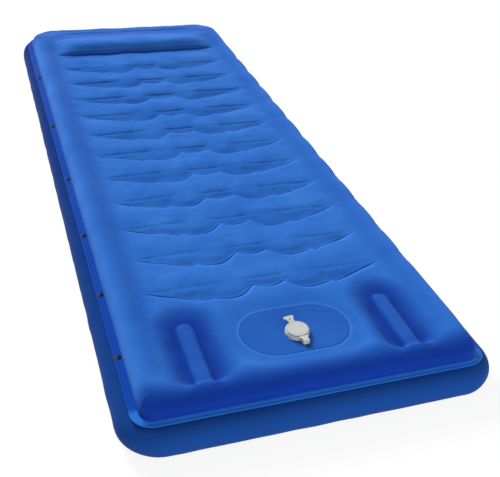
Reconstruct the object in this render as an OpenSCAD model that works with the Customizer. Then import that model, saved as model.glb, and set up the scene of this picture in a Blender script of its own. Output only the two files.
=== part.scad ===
// Inflatable camping mattress with a raised pillow, wavy welded channels
// and a foot pump under an oval panel. Foot end at -Y, head end at +Y.

/* [Bed] */
// Width across the welded edge flange
bed_w = 670; // [600:5:760]
// Length across the welded edge flange
bed_l = 1870; // [1850:5:2000]
// Height of the channel crests above the floor
bed_h = 94; // [86:1:110]
// Thickness of the coated fabric
sheet_t = 1; // [0.6:0.1:1.4]
// Clearance between soft pieces that meet
soft_gap = 0.3; // [0.1:0.05:0.5]

/* [Edge] */
// Corner radius of the edge flange at the foot end
foot_r = 55; // [50:1:70]
// Corner radius of the edge flange at the head end
head_r = 78; // [55:1:80]
// Width of the welded strip outside the seam
flange_band = 15; // [13:0.5:22]
// Thickness of the welded strip
flange_t = 1.6; // [1:0.1:2.4]
// Overlap of the welded strip inside the seam
flange_lap = 3; // [2:0.5:5]
// Radius of the round lower wall
wall_r = 29; // [25:0.5:32]
// How far the lower wall stands outside the flange
wall_bulge = 25; // [16:0.5:27]
// Height of the flange above the top of the lower wall
fin_gap = 4; // [3.8:0.1:6]
// Inset of the steep shoulder of the top sheet from the seam
shoulder_in = 9; // [6:0.5:14]
// Drop from the bolster to the steep shoulder
shoulder_drop = 13; // [8:0.5:18]
// Inset of the bolster's crest from the seam
bolster_in = 40; // [35:1:45]
// Height of the side bolsters above the channel crests
bolster_rise = 6; // [0:0.5:9]
// How far each channel draws the bolster down beside it
bolster_draw = 4; // [1:0.5:6]

/* [Channels] */
// Number of wavy channels
wave_count = 11; // [9:1:11]
// Distance between channels
wave_pitch = 117.5; // [108:0.5:118]
// Distance from the foot edge to the first channel
wave_start = 316; // [312:1:325]
// Depth of a channel below the crests
wave_depth = 13; // [8:0.5:18]
// Half length of a channel, centre to pointed tip
tip_x = 243; // [235:1:258]
// Distance from the centre line to the deepest scallop
lobe_x = 84; // [78:1:115]
// How far the scallop reaches towards the foot
lobe_drop = 42; // [25:1:48]
// Distance from the centre line to the inner cusp
cusp_x = 34; // [18:1:40]
// How far the inner cusp lies towards the foot
cusp_drop = 12; // [4:1:18]
// Width of the welded strip behind each channel line
weld_w = 11; // [6:0.5:14]
// Thickness of the tie webs
web_t = 0.8; // [0.5:0.1:1.2]

/* [Pillow] */
// Height of the pillow above the floor
pillow_h = 120; // [108:1:135]
// Half length of the crease in front of the pillow
crease_x = 241; // [220:1:245]
// Distance from the crease to the brow of the pillow
pillow_brow = 55; // [40:1:90]
// Drop from the brow to the back of the pillow
pillow_fall = 14; // [6:1:22]

/* [Foot bars] */
// Distance of each foot bar from the centre line
bar_x = 200; // [196:1:215]
// Width between the two weld lines of a bar
bar_w = 36; // [28:1:44]
// Length of a bar
bar_l = 175; // [140:1:178]
// Drop from the channel crests to the ridge of a bar
bar_drop = 3; // [0:0.5:6]

/* [Foot pump] */
// Distance from the foot edge to the centre of the pump
pump_in = 152; // [146:1:160]
// Radius of the round ends of the pump panel
oval_r = 61; // [54:0.5:63]
// Distance between the centres of the round ends
oval_span = 85; // [76:1:90]
// Thickness of the pump panel
panel_t = 1.5; // [1:0.1:2.5]
// Drop of the flat ground round the pump below the crests
pump_sink = 5; // [3:0.5:7]
// Width of the flat ground beyond the collar
ground_edge = 4; // [2:0.5:6]
// Drop of the panel below the top of its collar
panel_sink = 2.5; // [1.6:0.1:4]
// Gap round the panel that holds the rolled skirt
skirt_gap = 4; // [3.5:0.1:5]
// Distance of the skirt's outer leg from the edge of the opening
skirt_out = 1.8; // [1.2:0.1:2]
// Distance of the skirt's inner leg from the edge of the panel
skirt_in = 3; // [2:0.5:6]
// Slack of the skirt that is left when the panel is pressed down
skirt_slack = 4; // [0:0.5:8]
// Width of the collar round the opening
collar_w = 9; // [6:0.5:10]
// Height of the collar above the ground round it
collar_h = 1.5; // [1:0.1:2]
// Travel of the panel under the foot
press_travel = 30; // [20:1:34]
// Width of the bladder's rim under the top sheet
rim_w = 8; // [5:0.5:10]
// Inset of the foam from the edge of the panel
foam_in = 7; // [5:0.5:10]
// Room between the foam and the valve above it
foam_room = 12; // [10:0.5:20]
// Bore of the check valve
check_d = 16; // [10:0.5:20]
// Height of the check valve above the floor
check_z = 43.4; // [36:0.1:50]
// Wall of the check valve's tube
check_wall = 3; // [2:0.1:4]
// Width of the check valve's rim beyond its tube
check_rim = 5; // [3:0.5:8]
// Thickness of the check valve's rim
check_t = 2; // [1.4:0.1:3]
// Overlap of a rubber flap round its bore
flap_lap = 1.5; // [1:0.1:2]
// Thickness of the rubber flaps
flap_t = 1; // [0.6:0.1:1.6]

/* [Valve] */
// Distance of the valve from the centre of the pump, towards the foot
valve_back = 10; // [4:0.5:12]
// Turn of the valve on the panel, in degrees
valve_turn = 8; // [0:1:15]
// Diameter of the plug and of the seat below it
plug_d = 46; // [42:0.5:50]
// Diameter of the cap
cap_d = 42; // [38:0.5:44]
// Bore of the valve seat
seat_d = 34; // [31:0.5:35]
// Wall of the seat's neck
neck_wall = 4; // [3:0.1:4.5]
// Length of the neck below the plug
neck_over = 5; // [4:0.5:8]
// Width of the seat's flange under the panel
seat_rim = 8; // [6:0.5:10]
// Thickness of the seat's flange
seat_rim_t = 1.6; // [1:0.1:2]
// Thickness of each layer of the valve
layer_t = 3.4; // [3:0.1:4.8]
// Gap between the layers
layer_gap = 0.5; // [0.3:0.05:0.8]
// Depth of the plug in the seat
plug_depth = 10; // [7:0.5:12]
// Bore of the plug, through which the pump draws air
inlet_d = 21; // [17:0.5:23]
// Depth of the cap in the plug
cap_depth = 5; // [3:0.5:6]
// Taper of the plug and of the cap's stopper
boss_taper = 1; // [0.5:0.1:1.5]
// Clearance round a closed plug or cap
plug_fit = 0.6; // [0.5:0.05:0.8]
// Depth of the dished top of the cap
dish_depth = 0.5; // [0.3:0.1:1]
// Width of the rim round the dished top
dish_rim = 2; // [1.5:0.1:3]
// Length of the grip beyond the cap
grip_l = 18; // [15:0.5:22]
// Width across the two lobes of the grip
grip_w = 21; // [19:0.5:26]
// Width of the grip's waist
grip_waist = 11; // [9:0.5:12]
// Radius of the hollows beside the waist
waist_r = 6; // [5:0.5:7]
// Radius of the lobes
grip_lobe_r = 3.2; // [2.6:0.1:3.6]
// Hole in the grip
grip_hole = 4.4; // [3:0.1:5]
// Reach of the bent straps beyond the plug
strap_reach = 14; // [12:0.5:20]
// Width of the bent straps
strap_w = 12; // [8:0.5:14]
// Thickness of the straps
strap_t = 1.2; // [0.8:0.1:1.3]

/* [Snaps] */
// Number of snaps along each edge
snap_count = 6; // [3:1:6]
// Distance from the head edge to the first snap
snap_start = 357; // [320:1:370]
// Distance from the first snap to the second
snap_step = 355; // [330:1:358]
// Each further distance as a share of the one before
snap_ratio = 0.855; // [0.8:0.005:0.86]
// Diameter of the dome caps
snap_d = 13; // [9:0.5:13.5]
// Height of the dome caps
snap_h = 3; // [2:0.1:4]
// Diameter of the sockets and of the studs' discs
socket_d = 12; // [8:0.5:12.5]
// Diameter of the studs
stud_d = 4.8; // [4:0.1:5.6]
// Height of the studs
stud_h = 3; // [2.2:0.1:4]
// Diameter of the posts through the flange
post_d = 3.2; // [2:0.1:3.8]
// Clearance round the posts and in the sockets
snap_fit = 0.1; // [0.05:0.01:0.2]

/* [Hidden] */
$fn = 48;
fabric_blue = [0.10, 0.30, 0.72];
shade_blue = [0.07, 0.22, 0.55];
film_white = [0.80, 0.84, 0.88];
foam_cream = [0.90, 0.86, 0.70];
valve_grey = [0.72, 0.74, 0.76];
snap_black = [0.06, 0.06, 0.07];

// Edge levels: lower wall, flange and seam
wall_d = wall_bulge - wall_r;
flange_z = 2 * wall_r + fin_gap;
seam_z = flange_z + flange_t;
seam_x = bed_w / 2 - flange_band;
seam_y = bed_l / 2 - flange_band;
snap_x = bed_w / 2 - flange_band / 2;

// Heights of the top sheet
valley_z = bed_h - wave_depth;
bolster_z = bed_h + bolster_rise;
ground_z = bed_h - pump_sink;
web_top = valley_z - sheet_t - soft_gap;

// Rows of the top sheet along Y: foot edge, foot bars, channels, pillow, head edge
foot_rows = 5;
last_row = foot_rows + 3 * wave_count + 4;
crease_row = last_row - 4;
wave_y0 = -bed_l / 2 + wave_start;
crease_y = wave_y0 + wave_count * wave_pitch;

// Share of the sheet's thickness that lies level at the steep shoulder
lean = 0.8;

// Columns of the top sheet, from the side seam to the centre line
cols = 14;
half_cols = cols / 2;
mid_x = (tip_x + lobe_x) / 2;
mid_drop = lobe_drop * (tip_x - mid_x) / (tip_x - lobe_x);
drops = [0, 0, 0, 0, mid_drop, lobe_drop, cusp_drop];

// Pump levels, from the panel down to the bladder's floor
pump_y = -bed_l / 2 + pump_in;
opening_r = oval_r + skirt_gap;
collar_r = opening_r + collar_w;
ground_x = oval_span / 2 + collar_r + ground_edge;
ground_y = pump_y + collar_r + ground_edge;
panel_top = ground_z + collar_h - panel_sink;
panel_low = panel_top - panel_t;
skirt_low = panel_low - (press_travel - skirt_slack) / 2;
bladder_r = opening_r + soft_gap;
foam_r = oval_r - foam_in;
foam_z0 = 2 * sheet_t;
check_wall_y = pump_y + bladder_r + sheet_t;
check_tube_d = check_d + 2 * check_wall;

// Valve levels, counted up from the panel
valve_y = pump_y - valve_back;
seat_top = panel_top + layer_t;
plug_z = seat_top + layer_gap;
cap_z = plug_z + layer_t + layer_gap;
neck_d = seat_d + 2 * neck_wall;
neck_z = seat_top - plug_depth - neck_over;
grip_t = layer_t / 2;
groove_r = layer_t / 8;
edge_r = layer_t / 4;
cut = 1;

// Each snap's place along Y, counted from the head
function snap_y(i) = bed_l / 2 - snap_start
    - snap_step * (1 - pow(snap_ratio, i)) / (1 - snap_ratio);

function web_name(k) = str("wave_web_", k < 10 ? "0" : "", k);

// Plan of the bed with true arcs at its corners, grown outwards from the flange edge
module bed_plan(out) for (end = [[0, head_r], [180, foot_r]]) rotate(end[0]) {
    r = end[1] + out;
    w = bed_w / 2 + out;
    l = bed_l / 2 + out;
    translate([-w, -l / 2]) square([2 * w, l * 3 / 2 - r]);
    translate([r - w, -l / 2]) square([2 * (w - r), l * 3 / 2]);
    for (s = [-1, 1]) translate([s * (w - r), l - r]) circle(r);
}

// Sweeps a section, drawn as distance outside the flange edge and height, round the bed
module sweep_bed() for (end = [[0, head_r], [180, foot_r]]) rotate([0, 0, end[0]]) {
    r = end[1];
    translate([bed_w / 2, bed_l / 2 - r, 0]) rotate([90, 0, 0])
        linear_extrude(bed_l - head_r - foot_r) children();
    translate([r - bed_w / 2, bed_l / 2, 0]) rotate([0, 0, 90]) rotate([90, 0, 0])
        linear_extrude(bed_w - 2 * r) children();
    translate([bed_w / 2 - r, bed_l / 2 - r, 0])
        rotate_extrude(angle = 90) translate([r, 0]) children();
    translate([r - bed_w / 2, bed_l / 2 - r, 0]) rotate([0, 0, 90])
        rotate_extrude(angle = 90) translate([r, 0]) children();
}

module oval(r) {
    square([oval_span, 2 * r], center = true);
    for (s = [-1, 1]) translate([s * oval_span / 2, 0]) circle(r);
}

module at_pump(z) translate([0, pump_y, z]) children();
module at_valve(z) translate([0, valve_y, z]) rotate([0, 0, valve_turn]) children();

module oval_ring(z0, z1, r_in, r_out)
    at_pump(z0) linear_extrude(z1 - z0) difference() {
        oval(r_out);
        oval(r_in);
    }

// Lower skin: flat floor, round wall, and a low neck that reaches up to the flange
module bottom_sheet() color(shade_blue) {
    linear_extrude(sheet_t) bed_plan(wall_d);
    sweep_bed() wall_section();
}

module wall_section() {
    translate([wall_d, wall_r]) intersection() {
        difference() {
            circle(wall_r);
            circle(wall_r - sheet_t);
        }
        translate([0, -wall_r]) square(2 * wall_r);
    }
    neck_d0 = -flange_band - sheet_t;
    translate([neck_d0, 2 * wall_r - sheet_t]) square([wall_d - neck_d0, sheet_t]);
    translate([neck_d0, 2 * wall_r - sheet_t]) square([sheet_t, fin_gap + sheet_t]);
}

// Welded edge strip with the holes of the snaps
module weld_flange() color(fabric_blue) difference() {
    translate([0, 0, flange_z]) linear_extrude(flange_t) difference() {
        bed_plan(0);
        bed_plan(-flange_band - flange_lap);
    }
    for (s = [-1, 1]) at_snaps(s) translate([0, 0, flange_z - cut])
        cylinder(h = flange_t + 2 * cut, d = post_d + 2 * snap_fit);
}

// Grid of the top sheet. A row is counted from the foot, a column h from the side seam.
function end_row(i) = min(i, last_row - i);
function end_sign(i) = i < last_row / 2 ? -1 : 1;
function wave_of(i) = floor((i - foot_rows) / 3);
function wave_step(i) = (i - foot_rows) % 3;
function is_wave(i) = i >= foot_rows && i < crease_row;

function line_y(k, h) = k < wave_count ? wave_y0 + k * wave_pitch - drops[h] : crease_y;

function row_y(i, h) =
    i == 2 ? -seam_y + bolster_in :
    i == 3 ? (h < half_cols - 1 ? -seam_y + bolster_in + bar_l : ground_y) :
    i == 4 ? (row_y(3, h) + line_y(0, h)) / 2 :
    i == crease_row ? crease_y :
    i == crease_row + 1 ? crease_y + pillow_brow :
    i == crease_row + 2 ? seam_y - bolster_in :
    wave_step(i) == 0 ? line_y(wave_of(i), h) :
    wave_step(i) == 1 ? wave_y0 + wave_of(i) * wave_pitch + weld_w :
    (row_y(i - 1, h) + line_y(wave_of(i) + 1, h)) / 2;

function corner_r(i) = (end_sign(i) < 0 ? foot_r : head_r) - flange_band;

function inset(ring, lining) =
    ring == 0 ? lining :
    ring == 1 ? shoulder_in + lean * lining :
    bolster_in;

function col_x(i, h) =
    i <= 3 ? [bar_x + bar_w / 2, bar_x, bar_x - bar_w / 2, ground_x][h - 3] :
    [i >= crease_row ? crease_x : tip_x, mid_x, lobe_x, cusp_x][h - 3];

// Plan place of a grid point, with both coordinates positive towards its own corner
function plan(i, h, lining) =
    let (e = end_row(i), ring = min(e, h))
    e <= 2 && h <= 2
        ? let (turn = ring == 0 ? 22.5 * (2 - e + h) : 45 * (1 - e + h), c = corner_r(i),
               r = c - inset(ring, lining))
          [seam_x - c + r * cos(turn), end_sign(i) * (seam_y - c + r * sin(turn))] :
    [h <= 2 ? seam_x - inset(h, lining) : col_x(i, h),
     e <= 1 ? end_sign(i) * (seam_y - inset(e, lining)) : row_y(i, h)];

function bolster_at(i) =
    i > crease_row && i < last_row ? pillow_h - pillow_fall :
    is_wave(i) && wave_step(i) < 2 ? bolster_z - bolster_draw :
    bolster_z;

function foot_z(h) = [valley_z, bed_h - bar_drop, valley_z, ground_z][h - 3];

function crown(i, h) =
    min(end_row(i), h) == 0 ? seam_z :
    min(end_row(i), h) == 1 ? bolster_at(i) - shoulder_drop :
    h == 2 ? bolster_at(i) :
    i <= 3 ? foot_z(h) :
    i == crease_row ? valley_z :
    i == crease_row + 1 ? pillow_h :
    i == crease_row + 2 ? pillow_h - pillow_fall :
    i == 4 || wave_step(i) == 2 ? bed_h :
    valley_z;

function sink(i, h) = [0, sqrt(1 - lean * lean), 1][min(end_row(i), h, 2)];

function grid_point(i, j, lining) =
    let (h = min(j, cols - 1 - j), p = plan(i, h, lining))
    [(j < half_cols ? -1 : 1) * p[0], p[1], crown(i, h) - lining * sink(i, h)];

// Points round the pump's opening, clockwise from the foot side
opening_points = 20;
opening_quarter = opening_points / 4;
function opening_point(m, z) =
    let (turn = -90 - 360 * (m + 0.5) / opening_points)
    [sign(cos(turn)) * oval_span / 2 + opening_r * cos(turn), pump_y + opening_r * sin(turn), z];

grid_size = (last_row + 1) * cols;
skin_size = grid_size + opening_points;

function grid_at(i, j) = i * cols + j;
function rim_at(m) = grid_size + m % opening_points;
function opening_corner(q) =
    grid_at(q % 4 == 0 || q % 4 == 3 ? 2 : 3, q % 4 < 2 ? half_cols - 1 : half_cols);

function split(q) = [[q[0], q[1], q[2]], [q[0], q[2], q[3]]];
function flip(faces, shift) = [for (f = faces) [for (n = [len(f) - 1 : -1 : 0]) f[n] + shift]];

skin_quads = [for (i = [0 : last_row - 1], j = [0 : cols - 2]) if (i != 2 || j != half_cols - 1)
    [grid_at(i, j), grid_at(i, j + 1), grid_at(i + 1, j + 1), grid_at(i + 1, j)]];
opening_fan = [for (m = [0 : opening_points - 1])
    if (m % opening_quarter < opening_quarter - 1)
        [opening_corner(floor(m / opening_quarter)), rim_at(m), rim_at(m + 1)]];
opening_sides = [for (q = [0 : 3])
    let (next = (q + 1) * opening_quarter)
    [opening_corner(q), rim_at(next - 1), rim_at(next), opening_corner(q + 1)]];
skin_faces = concat([for (q = concat(skin_quads, opening_sides)) each split(q)], opening_fan);

// Edge of the skin, walked so that its wall faces outwards
edge_walk = concat(
    [for (j = [0 : cols - 2]) [grid_at(0, j), grid_at(0, j + 1)]],
    [for (i = [0 : last_row - 1]) [grid_at(i, cols - 1), grid_at(i + 1, cols - 1)]],
    [for (j = [0 : cols - 2]) [grid_at(last_row, j + 1), grid_at(last_row, j)]],
    [for (i = [0 : last_row - 1]) [grid_at(i + 1, 0), grid_at(i, 0)]],
    [for (m = [0 : opening_points - 1]) [rim_at(m), rim_at(m + 1)]]);
edge_faces = [for (e = edge_walk) each split([e[1], e[0], e[0] + skin_size, e[1] + skin_size])];

function skin_points(lining) = concat(
    [for (i = [0 : last_row], j = [0 : cols - 1]) grid_point(i, j, lining)],
    [for (m = [0 : opening_points - 1]) opening_point(m, ground_z - lining)]);

// Upper skin: crowned sheet with bolsters, wavy channels, pillow, foot bars and pump opening
module top_sheet() color(fabric_blue)
    polyhedron(points = concat(skin_points(0), skin_points(sheet_t)),
        faces = concat(skin_faces, flip(skin_faces, skin_size), edge_faces), convexity = 8);

// Tie web under one channel line, from the floor up to the weld
module web_strip(path) translate([0, 0, sheet_t]) linear_extrude(web_top - sheet_t)
    polygon(concat([for (p = path) [p[0], p[1] - web_t / 2]],
        [for (n = [len(path) - 1 : -1 : 0]) [path[n][0], path[n][1] + web_t / 2]]));

module wave_web(k) color(film_white) {
    reach = [tip_x - web_t, mid_x, lobe_x, cusp_x];
    y = [for (h = [3 : half_cols - 1]) line_y(k - 1, h)];
    web_strip(concat([for (n = [0 : 3]) [-reach[n], y[n]]], [for (n = [3 : -1 : 0]) [reach[n], y[n]]]));
}

module pillow_web() color(film_white)
    web_strip([[-crease_x + web_t, crease_y], [crease_x - web_t, crease_y]]);

module foot_webs(s) color(film_white) for (side = [-1, 1])
    translate([s * bar_x + side * bar_w / 2, -seam_y + bolster_in + bar_l / 2, sheet_t])
        linear_extrude(web_top - sheet_t) square([web_t, bar_l - 2 * web_t], center = true);

// Snaps along one edge
module at_snaps(s) for (i = [0 : snap_count - 1]) translate([s * snap_x, snap_y(i), 0]) children();

module snap_caps_left() color(snap_black) at_snaps(-1) {
    dome_r = (snap_d * snap_d / 4 + snap_h * snap_h) / (2 * snap_h);
    translate([0, 0, seam_z]) rotate_extrude() intersection() {
        translate([0, snap_h - dome_r]) circle(dome_r);
        square([snap_d, snap_h]);
    }
    translate([0, 0, flange_z]) cylinder(h = flange_t, d = post_d);
}

module snap_sockets_left() color(snap_black) at_snaps(-1) {
    socket_h = fin_gap - 2 * soft_gap;
    translate([0, 0, flange_z - socket_h]) difference() {
        cylinder(h = socket_h, d = socket_d);
        translate([0, 0, -flange_t / 2]) cylinder(h = socket_h, d = stud_d + 2 * snap_fit);
    }
}

module snap_studs_right() color(snap_black) at_snaps(1) {
    translate([0, 0, seam_z]) cylinder(h = flange_t, d = socket_d);
    translate([0, 0, seam_z + flange_t]) cylinder(h = stud_h, d = stud_d);
    translate([0, 0, flange_z]) cylinder(h = flange_t, d = post_d);
}

module snap_backs_right() color(snap_black) at_snaps(1)
    translate([0, 0, flange_z - fin_gap / 2]) cylinder(h = fin_gap / 2, d = snap_d);

// Foot pump
module pump_collar() color(fabric_blue)
    oval_ring(ground_z, ground_z + collar_h, opening_r - skirt_gap / 2, collar_r);

module pump_bladder() color(film_white) difference() {
    top = ground_z - sheet_t;
    union() {
        at_pump(sheet_t) linear_extrude(sheet_t) oval(bladder_r + sheet_t);
        oval_ring(sheet_t, top, bladder_r, bladder_r + sheet_t);
        oval_ring(top - sheet_t, top, bladder_r, bladder_r + rim_w);
    }
    at_check(-sheet_t - cut) cylinder(h = sheet_t + 2 * cut, d = check_tube_d + 2 * snap_fit);
}

// Places a piece on the pump's head-side wall, with its axis pointing towards the head
module at_check(out) translate([0, check_wall_y + out, check_z]) rotate([-90, 0, 0]) children();

module check_seat() color(valve_grey) difference() {
    union() {
        at_check(0) cylinder(h = check_t, d = check_tube_d + 2 * check_rim);
        at_check(-sheet_t - check_t) cylinder(h = sheet_t + check_t, d = check_tube_d);
    }
    at_check(-sheet_t - check_t - cut) cylinder(h = sheet_t + 2 * (check_t + cut), d = check_d);
}

module check_flap() color(snap_black)
    at_check(check_t + soft_gap) cylinder(h = flap_t, d = check_d + 2 * flap_lap);

module pump_foam() color(foam_cream) difference() {
    at_pump(foam_z0) linear_extrude(panel_low - soft_gap - foam_z0) oval(foam_r);
    at_valve(neck_z - foam_room) cylinder(h = panel_low, d = neck_d + 2 * (seat_rim + soft_gap));
}

module pump_skirt() color(shade_blue) {
    leg_out = opening_r - skirt_out;
    leg_in = oval_r - skirt_in;
    oval_ring(skirt_low, ground_z, leg_out - sheet_t / 2, leg_out + sheet_t / 2);
    oval_ring(skirt_low, panel_low - soft_gap, leg_in - sheet_t / 2, leg_in + sheet_t / 2);
    oval_ring(skirt_low - sheet_t, skirt_low, leg_in - sheet_t / 2, leg_out + sheet_t / 2);
}

module pump_panel() color(fabric_blue) at_pump(panel_low) linear_extrude(panel_t) difference() {
    oval(oval_r);
    translate([0, -valve_back]) circle(d = neck_d + 2 * plug_fit);
}

// Valve seat: a ring on the panel, and a neck that passes through it to a flange below
module valve_seat() color(valve_grey) at_valve(0) difference() {
    union() {
        translate([0, 0, panel_top]) cylinder(h = layer_t, d = plug_d);
        translate([0, 0, neck_z]) cylinder(h = panel_top - neck_z, d = neck_d);
        translate([0, 0, panel_low - seat_rim_t]) cylinder(h = seat_rim_t, d = neck_d + 2 * seat_rim);
    }
    translate([0, 0, neck_z - cut]) cylinder(h = seat_top - neck_z + 2 * cut, d = seat_d);
}

// One moulded layer: a disc with rounded edges and a groove round its rim
module layer_disc(z, d) translate([0, 0, z]) difference() {
    rotate_extrude() {
        square([d / 2 - edge_r, layer_t]);
        translate([0, edge_r]) square([d / 2, layer_t - 2 * edge_r]);
        for (y = [edge_r, layer_t - edge_r]) translate([d / 2 - edge_r, y]) circle(edge_r);
    }
    rotate_extrude() translate([d / 2, layer_t / 2]) circle(groove_r);
}

module deflate_plug() color(valve_grey) at_valve(0) difference() {
    boss_r = seat_d / 2 - plug_fit;
    union() {
        layer_disc(plug_z, plug_d);
        translate([0, 0, plug_z - plug_depth])
            cylinder(h = plug_depth, r1 = boss_r - boss_taper, r2 = boss_r);
    }
    translate([0, 0, plug_z - plug_depth - cut]) cylinder(h = plug_depth + layer_t + 2 * cut, d = inlet_d);
}

module inlet_flap() color(snap_black)
    at_valve(plug_z - plug_depth - soft_gap - flap_t) cylinder(h = flap_t, d = inlet_d + 2 * flap_lap);

module valve_cap() color(valve_grey) at_valve(0) {
    boss_r = inlet_d / 2 - plug_fit;
    difference() {
        layer_disc(cap_z, cap_d);
        translate([0, 0, cap_z + layer_t - dish_depth]) cylinder(h = layer_t, d = cap_d - 2 * dish_rim);
    }
    translate([0, 0, cap_z - cap_depth]) cylinder(h = cap_depth, r1 = boss_r - boss_taper, r2 = boss_r);
    translate([0, 0, cap_z + (layer_t - grip_t) / 2]) linear_extrude(grip_t) grip();
}

// Grip with a waist, two round lobes and a bowed outer edge
module grip() difference() {
    root_y = cap_d / 2 - layer_t;
    end_y = cap_d / 2 + grip_l;
    lobe_c = grip_w / 2 - grip_lobe_r;
    lobe_y = sqrt(end_y * end_y - lobe_c * lobe_c) - grip_lobe_r + groove_r;
    union() {
        intersection() {
            circle(end_y);
            translate([-lobe_c, root_y]) square([2 * lobe_c, grip_l + layer_t]);
        }
        for (s = [-1, 1]) translate([s * lobe_c, lobe_y]) circle(grip_lobe_r);
    }
    for (s = [-1, 1]) translate([s * (grip_waist / 2 + waist_r), cap_d / 2 + waist_r / 2]) circle(waist_r);
    translate([0, (cap_d / 2 + end_y) / 2]) circle(d = grip_hole);
}

// Bent strap between two layers, as a band that turns back on itself past the hinge line
module bent_strap(z_low, z_high, d_low, d_high) at_valve(0) {
    bend_r = (z_high - z_low + strap_t) / 2;
    bend_y = plug_d / 2 + strap_reach - bend_r;
    translate([strap_w / 2, 0, (z_low + z_high) / 2]) rotate([90, 0, -90]) linear_extrude(strap_w) {
        translate([bend_y, 0]) intersection() {
            difference() {
                circle(bend_r);
                circle(bend_r - strap_t);
            }
            translate([0, -bend_r]) square(2 * bend_r);
        }
        for (leg = [[-bend_r, d_low], [bend_r - strap_t, d_high]]) {
            root_y = leg[1] / 2 + soft_gap;
            translate([root_y, leg[0]]) square([bend_y - root_y, strap_t]);
        }
    }
}

module plug_strap() color(valve_grey)
    bent_strap(seat_top - layer_t / 2, plug_z + strap_t / 2, plug_d, plug_d);

module cap_strap() color(valve_grey)
    bent_strap(plug_z + layer_t - strap_t / 2, cap_z + layer_t / 2, plug_d, cap_d);

bottom_sheet();
weld_flange();
top_sheet();
for (k = [1 : wave_count]) wave_web(k);
pillow_web();
foot_webs(-1);  // foot_webs_left
foot_webs(1);  // foot_webs_right
snap_caps_left();
snap_sockets_left();
snap_studs_right();
snap_backs_right();
pump_collar();
pump_bladder();
check_seat();
check_flap();
pump_foam();
pump_skirt();
pump_panel();
valve_seat();
plug_strap();
deflate_plug();
inlet_flap();
cap_strap();
valve_cap();
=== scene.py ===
import math
import bmesh
import bpy
from mathutils import Matrix, Vector, noise


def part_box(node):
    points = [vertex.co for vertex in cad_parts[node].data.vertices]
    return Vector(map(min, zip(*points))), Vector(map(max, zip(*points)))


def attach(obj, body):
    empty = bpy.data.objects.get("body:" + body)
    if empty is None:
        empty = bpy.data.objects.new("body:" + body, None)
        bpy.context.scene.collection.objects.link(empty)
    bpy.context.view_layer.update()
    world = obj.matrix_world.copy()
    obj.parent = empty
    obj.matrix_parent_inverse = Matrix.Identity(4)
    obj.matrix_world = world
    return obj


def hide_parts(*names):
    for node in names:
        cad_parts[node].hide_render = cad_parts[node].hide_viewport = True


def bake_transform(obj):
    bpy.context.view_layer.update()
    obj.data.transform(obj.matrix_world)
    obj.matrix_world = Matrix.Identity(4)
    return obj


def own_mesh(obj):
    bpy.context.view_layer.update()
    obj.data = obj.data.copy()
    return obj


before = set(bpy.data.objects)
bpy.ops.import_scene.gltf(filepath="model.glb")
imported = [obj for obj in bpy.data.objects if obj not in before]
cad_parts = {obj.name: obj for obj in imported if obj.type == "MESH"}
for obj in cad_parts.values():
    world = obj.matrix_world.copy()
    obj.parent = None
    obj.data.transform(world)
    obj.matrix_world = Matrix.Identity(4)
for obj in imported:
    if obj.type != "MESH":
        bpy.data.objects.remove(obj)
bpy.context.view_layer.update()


# Lower skin: a shallow tray of coated nylon with a flat floor and a round bulging wall.
# Its upper edge turns in and up, and is welded to the edge flange all the way round.
# The coating on this side is the darker blue of the two.
flange_low, flange_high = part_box("weld_flange")
tray_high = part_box("bottom_sheet")[1]
head_radius, tray_foot_radius = 0.095, 0.055
corner_steps = 16
edge_step = 0.012


def unit(value):
    """A share, held between 0 and 1."""
    return min(1, max(0, value))


def edge_stations(centre, half, radii, step, turns):
    """Points round a rectangle with round corners at its head and foot, each with its outward direction."""
    stations = []
    for corner, (side, end) in enumerate([(1, 1), (-1, 1), (-1, -1), (1, -1)]):
        radius = radii[0] if end > 0 else radii[1]
        middle = Vector((side * (half.x - radius), end * (half.y - radius)))
        for n in range(turns + 1):
            turn = math.radians(90 * (corner + n / turns))
            out = Vector((math.cos(turn), math.sin(turn)))
            stations.append((centre + middle + radius * out, out))
    spread = []
    for (start, out), (end, _) in zip(stations, stations[1:] + stations[:1]):
        length = (end - start).length
        if length > 1e-6:
            pieces = max(1, round(length / step)) if length > 2 * step else 1
            spread += [(start.lerp(end, n / pieces), out) for n in range(pieces)]
    return spread


def swept_skin(stations, section):
    """Skin carried round the stations; a section point is its distance outwards and its height."""
    skin = bmesh.new()
    around, across = len(stations), len(section) - 1
    grid = bmesh.ops.create_grid(skin, x_segments=around, y_segments=across, size=1)
    for vert in grid["verts"]:
        point, out = stations[round((vert.co.x + 1) / 2 * around) % around]
        outset, height = section[round((vert.co.y + 1) / 2 * across)]
        vert.co = (*(point + out * outset), height)
    bmesh.ops.remove_doubles(skin, verts=skin.verts, dist=1e-6)
    bmesh.ops.recalc_face_normals(skin, faces=skin.faces)
    return skin


def make_piece(name, shape, material):
    """One finished piece of the mattress, smooth, in its place."""
    mesh = bpy.data.meshes.new(name)
    shape.to_mesh(mesh)
    shape.free()
    mesh.shade_smooth()
    made = bpy.data.objects.new(name, mesh)
    bpy.context.scene.collection.objects.link(made)
    mesh.materials.append(material)
    return made


def new_finish(name):
    """A new material with its nodes, its links and its shader."""
    material = bpy.data.materials.new(name)
    material.use_nodes = True
    tree = material.node_tree
    return material, tree.nodes, tree.links, tree.nodes["Principled BSDF"]


def linked(links, sockets):
    """Joins each output to its socket."""
    for output, socket in sockets:
        links.new(output, socket)


def two_tones(nodes, first, second):
    """A blend from the first colour to the second."""
    blend = nodes.new("ShaderNodeMix")
    blend.data_type = "RGBA"
    blend.inputs["A"].default_value = (*first, 1)
    blend.inputs["B"].default_value = (*second, 1)
    return blend


def raised(nodes, strength, distance):
    """A bump of one strength and height."""
    bump = nodes.new("ShaderNodeBump")
    bump.inputs["Strength"].default_value = strength
    bump.inputs["Distance"].default_value = distance
    return bump


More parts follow.
